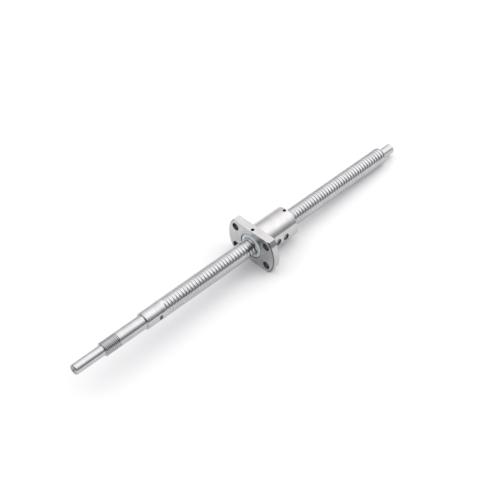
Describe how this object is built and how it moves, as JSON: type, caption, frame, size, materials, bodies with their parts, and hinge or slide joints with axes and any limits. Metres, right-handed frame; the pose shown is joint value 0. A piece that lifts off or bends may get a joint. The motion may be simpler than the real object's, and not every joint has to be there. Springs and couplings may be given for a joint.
{
  "type": "ball screw assembly",
  "caption": "Miniature ball screw with a right-hand ground thread, stepped journal ends and a flanged nut with internal ball return that turns rotation into linear travel.",
  "frame": {"origin": "on the screw axis, in the mounting face of the nut flange (the face towards the barrel)", "axes": "+X along the screw from the drive end to the supported end, +Z square to the flange flats"},
  "size_m": [0.2395, 0.035, 0.022],
  "materials": {
    "screw_steel": "ground and polished bearing steel",
    "nut_steel": "fine ground steel with a satin sheen",
    "deflector_steel": "dull steel",
    "ball_steel": "polished",
    "wiper_plastic": "pale blue-grey moulded",
    "set_screw_black": "black oxide"
  },
  "bodies": {
    "nut": {"nut_body": "nut_steel", "ball_deflector_1": "deflector_steel", "ball_deflector_2": "deflector_steel", "ball_deflector_3": "deflector_steel", "loaded_balls_1": "ball_steel", "loaded_balls_2": "ball_steel", "loaded_balls_3": "ball_steel", "return_balls_1": "ball_steel", "return_balls_2": "ball_steel", "return_balls_3": "ball_steel", "front_set_screw": "set_screw_black", "rear_set_screw": "set_screw_black"},
    "wipers": {"front_wiper": "wiper_plastic", "rear_wiper": "wiper_plastic"},
    "screw": {"screw_shaft": "screw_steel"}
  },
  "joints": [
    {"name": "screw_spin", "type": "hinge", "parent": "nut", "child": "wipers", "pos_m": [0, 0, 0], "axis": [1, 0, 0], "range_deg": [-13700, 11180]},
    {"name": "screw_travel", "type": "slide", "parent": "wipers", "child": "screw", "axis": [1, 0, 0], "range_m": [-0.076, 0.062]}
  ],
  "couplings": [
    {"joint": "screw_spin", "follows": "screw_travel", "rad_per_m": 3141.6}
  ]
}
